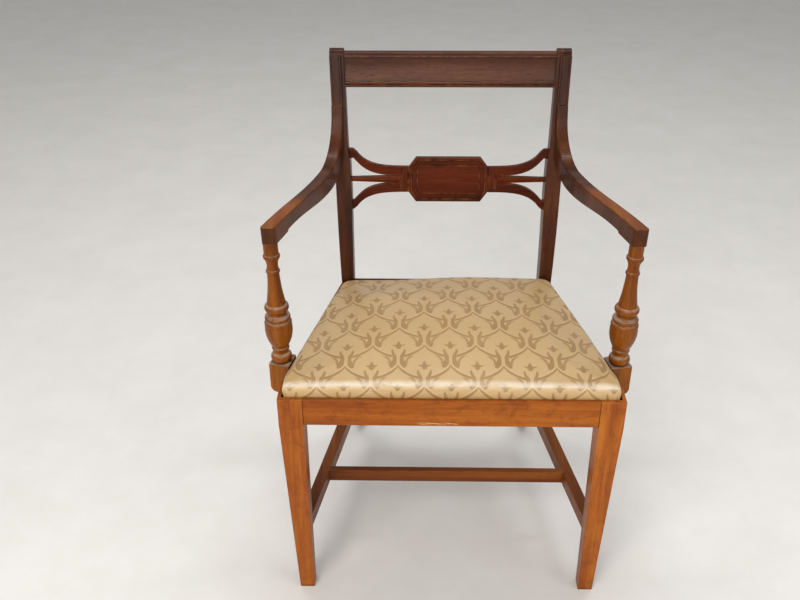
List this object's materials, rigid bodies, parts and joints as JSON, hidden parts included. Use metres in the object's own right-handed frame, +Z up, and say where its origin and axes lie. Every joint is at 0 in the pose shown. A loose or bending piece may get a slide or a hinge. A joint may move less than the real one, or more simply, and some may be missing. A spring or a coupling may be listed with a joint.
{
  "type": "wooden armchair",
  "caption": "Open wooden armchair with a lift-out upholstered seat, sweeping arms on turned supports, pierced cross splat and tapered legs joined by stretchers.",
  "frame": {"origin": "on the floor, under the middle of the chair's overall width and depth", "axes": "+Z up; -Y is the front, where a person sits down; +X is the right as seen from the front"},
  "size_m": [0.6214, 0.5072, 0.863],
  "materials": {
    "mahogany": "satin polish, worn lighter along the edges",
    "pale_wood": "plain planed wood",
    "damask": "satin woven with a leafy ogee pattern",
    "wadding": "soft matt wadding",
    "webbing": "coarse woven",
    "dust_cloth": "matt thin cloth",
    "steel": "plain"
  },
  "bodies": {
    "frame": {"arm_left": "mahogany", "arm_right": "mahogany", "arm_screw_plugs": "mahogany", "arm_screws": "steel", "arm_support_left": "mahogany", "arm_support_right": "mahogany", "arm_support_screws": "steel", "back_rail": "mahogany", "back_rail_dowels": "pale_wood", "back_splat": "mahogany", "corner_block_screws": "steel", "crest_rail": "mahogany", "crest_rail_dowels": "pale_wood", "cross_stretcher": "mahogany", "front_corner_block_left": "pale_wood", "front_corner_block_right": "pale_wood", "front_leg_left": "mahogany", "front_leg_right": "mahogany", "front_rail": "mahogany", "front_rail_dowels": "pale_wood", "rear_corner_block_left": "pale_wood", "rear_corner_block_right": "pale_wood", "rear_post_left": "mahogany", "rear_post_right": "mahogany", "side_rail_dowels": "pale_wood", "side_rail_left": "mahogany", "side_rail_right": "mahogany", "side_stretcher_left": "mahogany", "side_stretcher_right": "mahogany"},
    "seat": {"seat_cover": "damask", "seat_dust_cover": "dust_cloth", "seat_frame_front": "pale_wood", "seat_frame_back": "pale_wood", "seat_frame_left": "pale_wood", "seat_frame_right": "pale_wood", "seat_frame_dowels": "pale_wood", "seat_hessian": "webbing", "seat_pad": "wadding", "seat_tacks": "steel", "seat_webbing_cross": "webbing", "seat_webbing_long": "webbing"}
  },
  "joints": [
    {"name": "seat_lift", "type": "slide", "parent": "frame", "child": "seat", "axis": [0, 0, 1], "range_m": [0, 0.1]}
  ]
}
